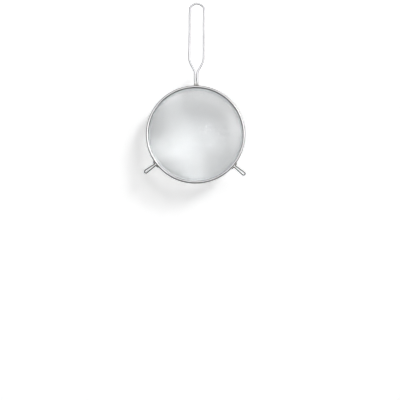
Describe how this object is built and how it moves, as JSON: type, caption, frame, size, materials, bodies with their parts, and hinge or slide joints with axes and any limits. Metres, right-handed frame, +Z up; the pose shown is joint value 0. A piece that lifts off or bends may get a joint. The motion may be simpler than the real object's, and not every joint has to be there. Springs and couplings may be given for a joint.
{
  "type": "fine mesh sieve",
  "caption": "Round wire cloth sieve with a folded steel rim, a long looped wire handle and small wire rests opposite it.",
  "frame": {"origin": "inside of the crown of the handle loop, where the sieve hangs, at the level of the front of the rim", "axes": "+Z up along the handle, -Y out of the open mouth of the bowl, +X to the right seen from the mouth"},
  "size_m": [0.1838, 0.0625, 0.3364],
  "materials": {
    "rim_steel": "bright rolled strip",
    "wire_steel": "polished drawn wire",
    "cloth_steel": "satin woven wire"
  },
  "bodies": {
    "root": {"rim_band": "rim_steel", "rim_core_wire": "wire_steel", "mesh_warp": "cloth_steel", "mesh_weft": "cloth_steel", "handle": "wire_steel", "left_rest": "wire_steel", "right_rest": "wire_steel"}
  },
  "joints": []
}
